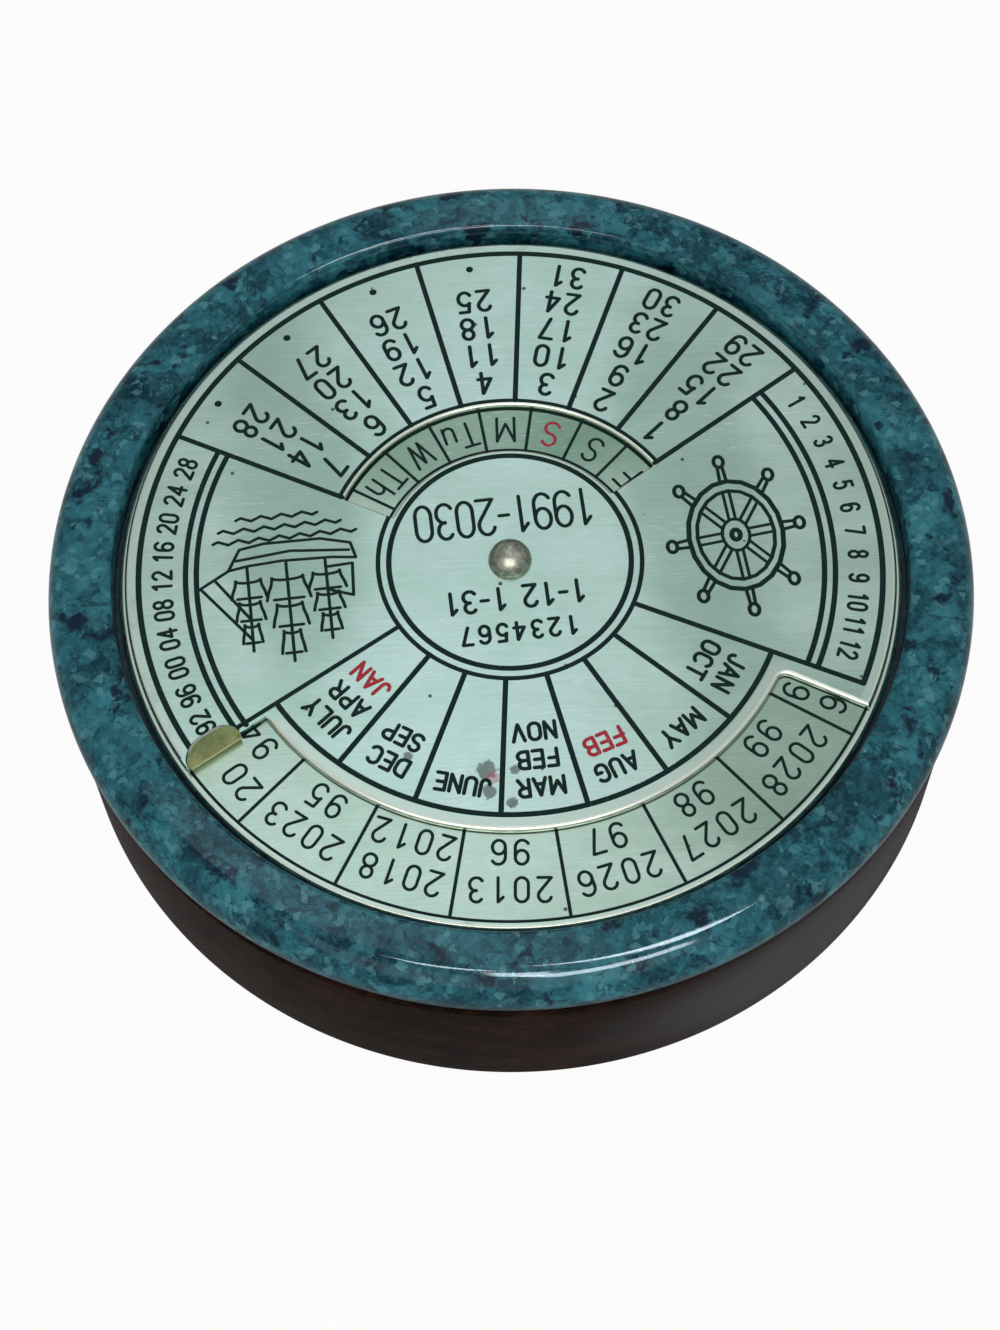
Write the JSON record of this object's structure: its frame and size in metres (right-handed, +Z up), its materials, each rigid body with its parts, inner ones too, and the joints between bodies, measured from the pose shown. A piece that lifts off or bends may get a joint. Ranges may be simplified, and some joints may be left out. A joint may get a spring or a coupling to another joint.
{
  "type": "perpetual desk calendar",
  "caption": "Round desk calendar: a turning brass month plate with two windows and a finger tab over a fixed brass year plate, set in a stone disc on a turned wood base.",
  "frame": {"origin": "centre of the felt underside, on the dial's pivot axis", "axes": "+Z up along the dial's pivot, +Y towards the year window at the top of the dial, +X to the reader's right"},
  "size_m": [0.09, 0.09, 0.0255],
  "materials": {
    "felt": "dark pressed wool felt",
    "wood": "dark stained, satin lacquer",
    "stone": "polished green veined stone",
    "tape": "white foam tape",
    "year_brass": "brushed and lacquered, etched lines filled dark",
    "month_brass": "brushed and lacquered, etched lines filled dark and red",
    "rivet_brass": "polished, slightly tarnished",
    "washer": "natural nylon"
  },
  "bodies": {
    "base": {"felt_pad": "felt", "wood_base": "wood", "marble_disc": "stone", "adhesive_pad": "tape", "year_plate": "year_brass", "friction_washer": "washer", "pivot_rivet": "rivet_brass"},
    "dial": {"month_plate": "month_brass"}
  },
  "joints": [
    {"name": "dial_turn", "type": "hinge", "parent": "base", "child": "dial", "pos_m": [0, 0, 0.02245], "axis": [0, 0, 1], "continuous": true}
  ]
}
